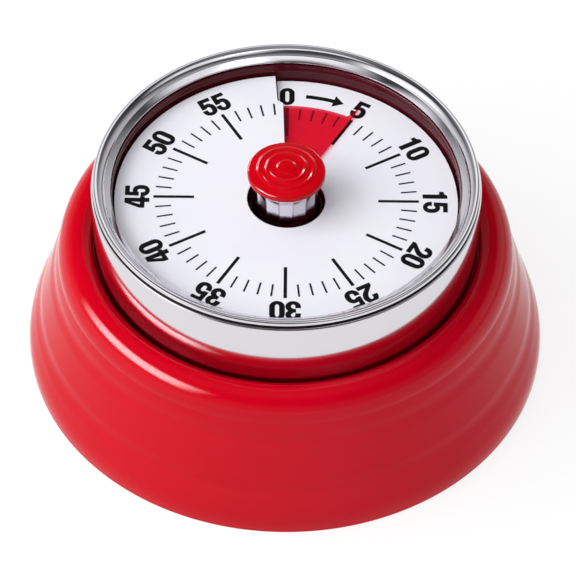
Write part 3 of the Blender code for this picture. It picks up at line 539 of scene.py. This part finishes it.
def make_cup():
    radius, wall, floor = 22.95, 0.8, 24.3
    hole, web = 5.4, 0.7
    bead_top, bead_height, bead_depth, steps = 28.0, 0.9, 0.1, 10
    bead = [
        (radius - bead_depth * math.sin(math.pi * i / steps), bead_top - bead_height * i / steps)
        for i in range(steps + 1)
    ]
    profile = [
        (CUP_FLANGE, CUP_BOTTOM),
        (CUP_FLANGE, CUP_BOTTOM + web),
        (radius + wall, CUP_BOTTOM + web),
        (radius + wall, CUP_TOP),
        (radius, CUP_TOP),
        *bead,
        (radius, floor),
        (hole, floor),
        (hole, floor - web),
        (radius, floor - web),
        (radius, CUP_BOTTOM),
    ]
    cup = add_mesh("cup_maroon", lathe(rounded(profile, 0.12)), FINISHES["red_inner"])
    dress(cup, "case", "red_inner", "dial_cup")


# ---------------------------------------------------------------- dial, print and film


def dial_height(angle):
    """The middle of the dial's sheet at a dial angle past the slit."""
    return DIAL_START + LIFT * angle / TURN


def slit_angle(radius):
    """The dial angle of the slit at a radius."""
    share = ease((radius - JOG_RADII[0]) / (JOG_RADII[1] - JOG_RADII[0]))
    return SLIT_ANGLE + (JOG_ANGLE - SLIT_ANGLE) * share


def make_dial():
    jog_steps, rim, steps = 10, 0.08, 360
    jog = JOG_RADII[1] - JOG_RADII[0]
    radii = [DIAL_HOLE, 8.0, 11.0, 14.0, 16.5]
    radii += [JOG_RADII[0] + jog * i / jog_steps for i in range(jog_steps + 1)]
    radii += [19.5, 21.0, DIAL_RADIUS - rim, DIAL_RADIUS]
    columns = []
    for i in range(steps + 1):
        column = []
        for radius in radii:
            angle = slit_angle(radius) + (TURN - SLIT_WIDTH) * i / steps
            column.append((radius, angle, dial_height(angle)))
        columns.append(column)
    dial = add_mesh("dial_face", sheet_on_screw(columns, DIAL_SHEET), FINISHES["dial_white"])
    dress(dial, "case", "dial_white", "dial_plate")


def on_dial(x, y, above):
    """A point just above the dial's sheet."""
    radius = math.hypot(x, y)
    angle = math.degrees(math.atan2(x, y)) % TURN
    if angle > slit_angle(radius) + TURN:
        angle -= TURN
    return (x, y, dial_height(angle) + DIAL_SHEET / 2 + above)


def add_print(bm, loops):
    """A printed shape: closed outlines on the dial, the holes among them."""
    rings = []
    for outline in loops:
        low = [bm.verts.new(on_dial(x, y, INK_BOTTOM)) for x, y in outline]
        high = [bm.verts.new(on_dial(x, y, INK_TOP)) for x, y in outline]
        rings.append((low, high))
    for side in (0, 1):
        edges = []
        for ring in rings:
            verts = ring[side]
            edges += [bm.edges.new((verts[i - 1], verts[i])) for i in range(len(verts))]
        bmesh.ops.triangle_fill(bm, use_beauty=True, edges=edges)
    for low, high in rings:
        for i in range(len(low)):
            bm.faces.new((low[i - 1], low[i], high[i], high[i - 1]))


def bow(cx, cy, rx, ry, start, stop, count=10):
    """Points on an oval arc, both ends included."""
    points = []
    for i in range(count + 1):
        turn = math.radians(start + (stop - start) * i / count)
        points.append((cx + rx * math.cos(turn), cy + ry * math.sin(turn)))
    return points


# Digits of a bold narrow sans, one unit tall and DIGIT_WIDTH wide
DIGITS = {
    "0": [
        bow(0.3, 0.7, 0.3, 0.3, 0, 180) + bow(0.3, 0.3, 0.3, 0.3, 180, 360),
        bow(0.3, 0.71, 0.105, 0.145, 0, 180) + bow(0.3, 0.29, 0.105, 0.145, 180, 360),
    ],
    "1": [
        [(0.23, 0.0), (0.43, 0.0), (0.43, 1.0), (0.3, 1.0)]
        + bow(0.07, 1.0, 0.2, 0.15, -10, -90, 6)
        + [(0.07, 0.7), (0.23, 0.7)]
    ],
    "2": [
        bow(0.3, 0.7, 0.3, 0.3, 180, 0)
        + [(0.595, 0.62), (0.54, 0.47), (0.43, 0.34), (0.25, 0.165)]
        + [(0.6, 0.165), (0.6, 0.0), (0.0, 0.0), (0.0, 0.13)]
        + [(0.3, 0.45), (0.37, 0.56), (0.4, 0.66)]
        + bow(0.3, 0.72, 0.1, 0.13, 0, 180)
        + [(0.195, 0.64), (0.0, 0.64)]
    ],
    "3": [
        bow(0.3, 0.73, 0.3, 0.27, 180, -30)
        + [(0.5, 0.535), (0.46, 0.51), (0.5, 0.485)]
        + bow(0.3, 0.28, 0.3, 0.28, 30, -180)
        + [(0.0, 0.34), (0.19, 0.34)]
        + bow(0.3, 0.27, 0.11, 0.125, -180, 60)
        + [(0.28, 0.42), (0.2, 0.42), (0.2, 0.58), (0.28, 0.58)]
        + bow(0.3, 0.74, 0.105, 0.12, -60, 180)
        + [(0.195, 0.66), (0.0, 0.66)]
    ],
    "4": [
        [(0.33, 0.0), (0.52, 0.0), (0.52, 0.2), (0.61, 0.2), (0.61, 0.355), (0.52, 0.355)]
        + [(0.52, 1.0), (0.28, 1.0), (0.0, 0.38), (0.0, 0.2), (0.33, 0.2)],
        [(0.33, 0.355), (0.33, 0.77), (0.15, 0.355)],
    ],
    "5": [
        [(0.06, 1.0), (0.56, 1.0), (0.56, 0.84), (0.22, 0.84), (0.21, 0.64)]
        + bow(0.33, 0.37, 0.27, 0.31, 105, 0)
        + bow(0.3, 0.29, 0.3, 0.29, 0, -180)
        + [(0.0, 0.34), (0.19, 0.34)]
        + bow(0.3, 0.28, 0.11, 0.13, -180, 0)
        + bow(0.3, 0.4, 0.11, 0.12, 0, 150)
        + [(0.19, 0.46), (0.03, 0.46)]
    ],
}


def bolder(outline, by, hole):
    """An outline moved outwards by a little, or inwards where it is a hole."""
    area = sum(a[0] * b[1] - b[0] * a[1] for a, b in zip(outline, outline[1:] + outline[:1]))
    side = by if (area > 0) != hole else -by
    moved = []
    for i, point in enumerate(outline):
        before = Vector(outline[i - 1])
        after = Vector(outline[(i + 1) % len(outline)])
        here = Vector(point)
        if (here - before).length < TINY or (after - here).length < TINY:
            continue
        one = (here - before).normalized()
        two = (after - here).normalized()
        across = Vector((one.y + two.y, -one.x - two.x))
        stretch = max(across.length_squared / 2, 0.5)
        moved.append(tuple(here + across * (side / stretch)))
    return moved


def add_numeral(bm, text, angle):
    """Digits side by side, tops outward, centred on a dial angle in degrees."""
    turn = math.radians(angle)
    along, out = (math.cos(turn), -math.sin(turn)), (math.sin(turn), math.cos(turn))
    width = len(text) * DIGIT_WIDTH + (len(text) - 1) * DIGIT_GAP
    for place, digit in enumerate(text):
        shift = place * (DIGIT_WIDTH + DIGIT_GAP) - width / 2
        loops = []
        for number, outline in enumerate(DIGITS[digit]):
            points = []
            for x, y in bolder(outline, DIGIT_BOLD, number > 0):
                across = (x + shift) * NUMERAL_HEIGHT
                up = NUMERAL_RADIUS + (y - 0.5) * NUMERAL_HEIGHT
                x, y = across * along[0] + up * out[0], across * along[1] + up * out[1]
                points.append((x, y))
            loops.append(points)
        add_print(bm, loops)


def add_tick(bm, minute, inner, outer, width):
    """One minute mark, between two radii."""
    turn = math.radians(minute * MINUTE)
    half = width / 2
    corners = ((-half, inner), (half, inner), (half, outer), (-half, outer))
    outline = []
    for across, up in corners:
        x = across * math.cos(turn) + up * math.sin(turn)
        y = -across * math.sin(turn) + up * math.cos(turn)
        outline.append((x, y))
    add_print(bm, [outline])


def ring_point(radius, angle):
    """A point on the dial at a radius and a dial angle."""
    turn = math.radians(angle)
    return (radius * math.sin(turn), radius * math.cos(turn))


def add_arrow(bm):
    """The curved arrow from 0 towards 5, bent round the dial."""
    middle, half, head = 19.75, 0.33, 1.05
    start, neck, tip = 7.4, 18.6, 22.8
    steps = 12
    angles = [start + (neck - start) * i / steps for i in range(steps + 1)]
    outline = [ring_point(middle + half, a) for a in angles]
    for radius, angle in ((middle + head, neck), (middle, tip), (middle - head, neck)):
        outline.append(ring_point(radius, angle))
    outline += [ring_point(middle - half, a) for a in reversed(angles)]
    add_print(bm, [outline])


def make_print():
    """Sixty minute marks, twelve numerals and the arrow, as one piece of raised ink."""
    short_mark, long_mark = (15.2, 17.3, 0.25), (12.12, 17.48, 0.45)
    bm = bmesh.new()
    for minute in range(60):
        if minute % 5:
            add_tick(bm, minute, *short_mark)
        else:
            add_tick(bm, minute, *long_mark)
            add_numeral(bm, str(minute), minute * MINUTE)
    add_arrow(bm)
    ink = add_mesh("dial_print", bm, FINISHES["print_black"], sharp=30.0)
    dress(ink, "case", "dial_white")


def make_film_piece():
    """The red disc that shows the time left; its lifted edge points at the minute."""
    steps, tab_steps, rows = 300, 12, 6
    angles = [FILM_EDGE - TURN + (TURN - TAB_ANGLE) * i / steps for i in range(steps)]
    angles += [FILM_EDGE - TAB_ANGLE + TAB_ANGLE * i / tab_steps for i in range(tab_steps + 1)]
    columns = []
    for angle in angles:
        flare = ease((angle - FILM_EDGE + TAB_ANGLE) / TAB_ANGLE)
        outer = FILM_RADIUS + (TAB_RADIUS - FILM_RADIUS) * flare
        height = dial_height(angle) + LIFT / 2
        radii = [FILM_BORE + (outer - FILM_BORE) * j / rows for j in range(rows + 1)]
        columns.append([(radius, angle, height) for radius in radii])
    film = add_mesh("time_film_red", sheet_on_screw(columns, FILM_SHEET), FINISHES["red_film"])
    dress(film, "time_disc", "red_film", "time_film")


# ---------------------------------------------------------------- knob


def cap_height(radius):
    """The cap's upper surface: a shallow dome with a button and two raised rings."""
    dome, button, flank, button_rise = 0.55, 1.4, 0.4, 0.16
    ring_reach, ring_rise = 0.42, 0.17
    height = CAP_TOP - dome * (radius / CAP_RADIUS) ** 2 - button_rise
    height += button_rise * ease((button - radius) / flank)
    for middle in (2.52, 3.62):
        height += ring_rise * hump(abs(radius - middle) / ring_reach)
    return height


def make_cap():
    edge, edge_steps, steps = 0.4, 12, 110
    bevel, socket_radius, socket_depth = 0.1, 3.6, 0.55
    rim = CAP_RADIUS - edge
    profile = [(0.0, cap_height(0.0))]
    for i in range(1, steps + 1):
        radius = rim * i / steps
        profile.append((radius, cap_height(radius)))
    middle = cap_height(rim) - edge
    for i in range(1, edge_steps + 1):
        turn = math.radians(90 - 90 * i / edge_steps)
        profile.append((rim + edge * math.cos(turn), middle + edge * math.sin(turn)))
    profile += [
        (CAP_RADIUS, CAP_BOTTOM + bevel),
        (CAP_RADIUS - bevel, CAP_BOTTOM),
        (socket_radius, CAP_BOTTOM),
        (socket_radius, CAP_BOTTOM + socket_depth),
        (0.0, CAP_BOTTOM + socket_depth),
    ]
    cap = add_mesh("knob_cap_red", lathe(profile), FINISHES["red_plastic"])
    dress(cap, "winding", "red_plastic", "knob_cap")


def facet_ring(bm, radius, height, facets):
    """A ring of the stem: flats with a narrow groove between them."""
    edge_share, groove = 0.05, 0.965
    ring = []
    for i in range(facets):
        here, after = math.tau * i / facets, math.tau * (i + 1) / facets
        a = Vector((radius * math.cos(here), radius * math.sin(here), height))
        b = Vector((radius * math.cos(after), radius * math.sin(after), height))
        for place in (
            (a.x * groove, a.y * groove, height),
            a.lerp(b, edge_share),
            a.lerp(b, 1 - edge_share),
        ):
            ring.append(bm.verts.new(place))
    return ring


def make_stem():
    """The stem: flats all round, waisted in the middle and flared under the cap."""
    facets, radius = 14, 4.1
    bore, bore_top = 1.55, 24.5
    heights = [
        (radius, STEM_BOTTOM),
        (radius + 0.1, 24.2),
        (radius + 0.12, 25.7),
        (radius + 0.06, 27.0),
        (radius + 0.02, 28.2),
        (radius + 0.14, 29.4),
        (STEM_FLARE - 0.06, STEM_TOP - 0.5),
        (STEM_FLARE - 0.02, STEM_TOP - 0.15),
        (STEM_FLARE - 0.15, STEM_TOP),
    ]
    bm = bmesh.new()
    rings = [facet_ring(bm, r, z, facets) for r, z in smooth_curve(heights, 3)]
    count = 3 * facets
    bore_rings = []
    for z in (STEM_BOTTOM, bore_top):
        ring = []
        for i in range(count):
            turn = math.tau * (i + 0.5) / count
            ring.append(bm.verts.new((bore * math.cos(turn), bore * math.sin(turn), z)))
        bore_rings.append(ring)
    for low, high in zip(rings, rings[1:]):
        for i in range(count):
            bm.faces.new((low[i - 1], low[i], high[i], high[i - 1]))
    bm.faces.new(rings[-1])
    low, high = bore_rings
    for i in range(count):
        bm.faces.new((low[i - 1], low[i], high[i], high[i - 1]))
        bm.faces.new((rings[0][i - 1], rings[0][i], low[i], low[i - 1]))
    bm.faces.new(high)
    stem = add_mesh("knob_stem_chrome", bm, FINISHES["stem_chrome"], sharp=8.0)
    dress(stem, "winding", "chrome", "knob_stem")


def make_hub():
    """The film's bush: a thin collar on a flange, loose on the stem."""
    wall, flange_width, flange = 0.15, 0.22, 0.2
    bore = HUB_RADIUS - flange_width
    profile = [
        (bore, HUB_BOTTOM),
        (HUB_RADIUS, HUB_BOTTOM),
        (HUB_RADIUS, HUB_TOP),
        (HUB_RADIUS - wall, HUB_TOP),
        (HUB_RADIUS - wall, HUB_BOTTOM + flange),
        (bore, HUB_BOTTOM + flange),
    ]
    hub = add_mesh("film_bush", lathe(rounded(profile, 0.05)), FINISHES["red_inner"])
    dress(hub, "time_disc", "red_inner", "film_hub")


make_body_shell()
make_bezel()
make_groove_line()
make_cup()
make_dial()
make_print()
make_film_piece()
make_cap()
make_stem()
make_hub()

# The CAD nodes that no piece stands for are shown as they are
FINISH_OF = {
    "dial_spacer": "red_inner",
    "back_cover": "black_plastic",
    "magnet": "magnet_black",
}
BRASS = ("wheel", "trip_cam", "pallets", "balance_bar", "hammer_head", "gong_post", "pillar")
SPRING = ("mainspring", "hammer_spring", "clutch_washer")
for name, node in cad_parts.items():
    if node.hide_render:
        continue
    finish = FINISH_OF.get(name, "steel")
    if name in SPRING:
        finish = "spring_steel"
    elif any(word in name for word in BRASS) and "nut" not in name and "ratchet" not in name:
        finish = "brass"
    node.data.materials.clear()
    node.data.materials.append(FINISHES[finish])


# ---------------------------------------------------------------- studio


def make_floor():
    """A plain pale floor, just under the foot."""
    half, drop = 1500.0, 0.02
    finish = Finish("studio_floor", roughness=0.2, base_color=(0.2, 0.2, 0.2))
    finish.set("Ior Level", 0.25)
    finish.set("Emission Color", (1.0, 1.0, 1.0))
    finish.set("Emission Strength", 0.81)
    bm = bmesh.new()
    corners = [(-half, -half), (half, -half), (half, half), (-half, half)]
    bm.faces.new([bm.verts.new((x, y, -drop)) for x, y in corners])
    floor = add_mesh("studio_floor", bm, finish.material)


def lamp_place(azimuth, elevation, distance):
    """A point at a bench azimuth and elevation from the object, in metres."""
    a, e = math.radians(azimuth), math.radians(elevation)
    flat = distance * math.cos(e)
    return Vector((flat * math.cos(a), flat * math.sin(a), distance * math.sin(e)))


def soften(light):
    """Fades a lamp towards its edges, as a softbox's cloth does."""
    light.use_nodes = True
    nodes, links = light.node_tree.nodes, light.node_tree.links
    spot = nodes.new("ShaderNodeSeparateXYZ")
    links.new(nodes.new("ShaderNodeNewGeometry").outputs["Parametric"], spot.inputs["Vector"])
    strength = None
    for axis, fade in (("X", 0.35), ("Y", 0.3)):
        centred = nodes.new("ShaderNodeMath")
        centred.operation = "PINGPONG"
        centred.inputs[1].default_value = 0.5
        links.new(spot.outputs[axis], centred.inputs[0])
        edge = nodes.new("ShaderNodeMapRange")
        edge.interpolation_type = "SMOOTHSTEP"
        edge.inputs["From Max"].default_value = fade
        links.new(centred.outputs["Value"], edge.inputs["Value"])
        if strength is None:
            strength = edge.outputs["Result"]
        else:
            product = nodes.new("ShaderNodeMath")
            product.operation = "MULTIPLY"
            links.new(strength, product.inputs[0])
            links.new(edge.outputs["Result"], product.inputs[1])
            strength = product.outputs["Value"]
    links.new(strength, nodes["Emission"].inputs["Strength"])


def add_softbox(name, place, size, watts, shine=True, fill=True):
    """A lamp aimed at the object, for reflections (shine), for matt surfaces (fill), or both."""
    target = Vector((0.0, 0.0, 0.02))
    light = bpy.data.lights.new(name, "AREA")
    light.shape = "RECTANGLE"
    light.size, light.size_y = size
    light.energy = watts
    if shine:
        soften(light)
    lamp = bpy.data.objects.new(name, light)
    lamp.location = place
    lamp.rotation_mode = "QUATERNION"
    lamp.rotation_quaternion = (target - place).to_track_quat("-Z", "Y")
    lamp.visible_glossy = shine
    lamp.visible_diffuse = fill
    bpy.context.scene.collection.objects.link(lamp)
    return lamp


def link_light(lamp, names, state):
    """Lights only the named objects (INCLUDE), or all but them (EXCLUDE)."""
    group = bpy.data.collections.new(lamp.name + "_pieces")
    for name in names:
        group.objects.link(bpy.data.objects[name])
    for member in group.collection_objects:
        member.light_linking.link_state = state
    lamp.light_linking.receiver_collection = group


def make_world():
    """A pale room: in reflections light at the horizon and dark high up, on matt surfaces even."""
    world = bpy.data.worlds.new("studio")
    bpy.context.scene.world = world
    world.use_nodes = True
    nodes, links = world.node_tree.nodes, world.node_tree.links
    rays = nodes.new("ShaderNodeLightPath").outputs

    def background(colour, strength):
        shader = nodes.new("ShaderNodeBackground")
        shader.inputs["Color"].default_value = (*colour, 1.0)
        shader.inputs["Strength"].default_value = strength
        return shader

    def mixed(choice, first, second):
        mix = nodes.new("ShaderNodeMixShader")
        links.new(choice, mix.inputs["Fac"])
        links.new(first, mix.inputs[1])
        links.new(second, mix.inputs[2])
        return mix.outputs["Shader"]

    room = background((1.0, 1.0, 1.0), 1.0)
    rise = nodes.new("ShaderNodeSeparateXYZ")
    links.new(nodes.new("ShaderNodeTexCoord").outputs["Generated"], rise.inputs["Vector"])
    ramp = nodes.new("ShaderNodeValToRGB")
    tones = (
        (0.0, 0.82),
        (0.2, 0.74),
        (0.38, 0.45),
        (0.54, 0.12),
        (0.8, 0.04),
        (0.93, 0.2),
        (1.0, 0.42),
    )
    stops = ramp.color_ramp.elements
    while len(stops) < len(tones):
        stops.new(0.5)
    for stop, (place, tone) in zip(stops, tones):
        stop.position = place
        stop.color = (tone, tone, tone * 1.02, 1.0)
    links.new(rise.outputs["Z"], ramp.inputs["Fac"])
    links.new(ramp.outputs["Color"], room.inputs["Color"])
    sides = nodes.new("ShaderNodeMapRange")
    for key, value in (("From Min", -1.0), ("From Max", 1.0), ("To Min", 1.1), ("To Max", 0.75)):
        sides.inputs[key].default_value = value
    links.new(rise.outputs["X"], sides.inputs["Value"])
    links.new(sides.outputs["Result"], room.inputs["Strength"])
    even = background((0.94, 0.94, 1.0), 0.38)
    pale = background((1.0, 1.0, 1.0), 0.99)
    matt = mixed(rays["Is Diffuse Ray"], room.outputs["Background"], even.outputs["Background"])
    seen = mixed(rays["Is Camera Ray"], matt, pale.outputs["Background"])
    links.new(seen, nodes["World Output"].inputs["Surface"])


def make_studio():
    """The lamps. Chrome and cap have their own, and the key is kept off chrome, cap, dial and
    floor, so that none of them is overexposed.
    """
    make_world()
    chrome = ("bezel_chrome", "knob_stem_chrome")
    cap = ("knob_cap_red",)
    dial = ("dial_face", "dial_print", "time_film_red")
    key = add_softbox("key_left", lamp_place(198, 32, 0.6), (0.8, 0.4), 38.0, fill=False)
    link_light(key, (*chrome, *cap, *dial, "studio_floor"), "EXCLUDE")
    panel = add_softbox("panel_right", lamp_place(30, 27, 0.6), (0.9, 0.42), 1.0, fill=False)
    link_light(panel, (*chrome, *cap), "EXCLUDE")
    # name, (azimuth, elevation, distance), size in metres, watts, pieces lit
    for name, place, size, watts, pieces in (
        ("sheen_left", (198, 32, 0.6), (0.8, 0.4), 1.2, chrome),
        ("sheen_back", (95, 52, 0.6), (0.9, 0.4), 1.3, chrome),
        ("sheen_top", (265, 66, 0.6), (0.9, 0.16), 0.5, chrome),
        ("sheen_front", (325, 56, 0.6), (0.8, 0.3), 0.75, chrome),
        ("glint_left", (212, 30, 0.6), (0.7, 0.3), 45.0, cap),
        ("glint_back", (124, 20, 0.6), (0.4, 0.09), 6.0, cap),
        ("glint_right", (70, 12, 0.6), (0.2, 0.08), 1.1, cap),
    ):
        lamp = add_softbox(name, lamp_place(*place), size, watts, fill=False)
        link_light(lamp, pieces, "INCLUDE")
    add_softbox("soft_left", lamp_place(195, 38, 0.6), (0.5, 0.4), 1.9, shine=False)
    add_softbox("broad_above", lamp_place(200, 65, 0.8), (1.0, 0.8), 4.2, shine=False)


def make_camera():
    """A long lens from the front, looking down at 48 degrees."""
    tilt, roll = math.radians(48.1), math.radians(0.55)
    distance, lowered, aside = 0.44, 0.01162, 0.00035
    look = Vector((0.0, math.cos(tilt), -math.sin(tilt)))
    up = Vector((0.0, math.sin(tilt), math.cos(tilt)))
    dial_centre = Vector((0.0, 0.0, 0.0262))
    data = bpy.data.cameras.new("camera")
    data.lens = 208.8
    data.sensor_width = 36.0
    data.clip_start = 0.01
    data.clip_end = 10.0
    camera = bpy.data.objects.new("camera", data)
    place = dial_centre - look * distance - up * lowered + Vector((aside, 0.0, 0.0))
    camera.matrix_world = (
        Matrix.Translation(place)
        @ Matrix.Rotation(math.pi / 2 - tilt, 4, "X")
        @ Matrix.Rotation(roll, 4, "Z")
    )
    bpy.context.scene.collection.objects.link(camera)
    bpy.context.scene.camera = camera


make_floor()
make_studio()
make_camera()
bpy.context.scene.view_settings.view_transform = "Standard"
